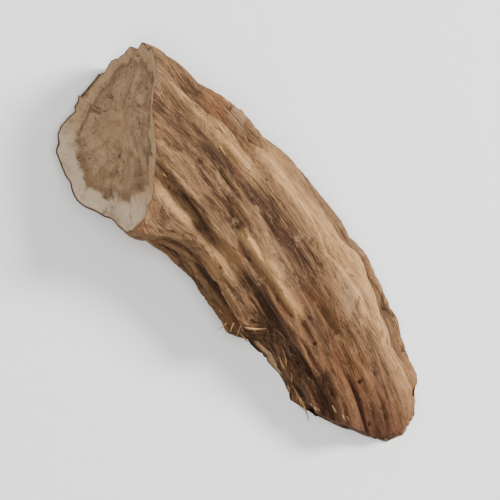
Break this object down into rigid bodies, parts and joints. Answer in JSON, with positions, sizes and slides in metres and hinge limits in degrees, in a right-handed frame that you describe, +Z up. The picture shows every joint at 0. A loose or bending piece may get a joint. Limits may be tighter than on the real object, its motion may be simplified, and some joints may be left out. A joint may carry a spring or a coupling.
{
  "type": "burdock root piece",
  "caption": "One piece of cut, dried burdock root: a bent, wrinkled length of thin root with a skewed oval cut end, a flat cut underside and a torn flank.",
  "frame": {"origin": "bottom centre of the piece's box, on the flat cut underside", "axes": "+X from the thick cut end to the tip, +Y towards the outer side of the bend, +Z up from the flat underside"},
  "size_m": [0.0182, 0.0072, 0.0047],
  "materials": {
    "dried_root": "matte, wrinkled dried bark with paler fibrous cut faces"
  },
  "bodies": {
    "root": {"root_piece": "dried_root"}
  },
  "joints": []
}
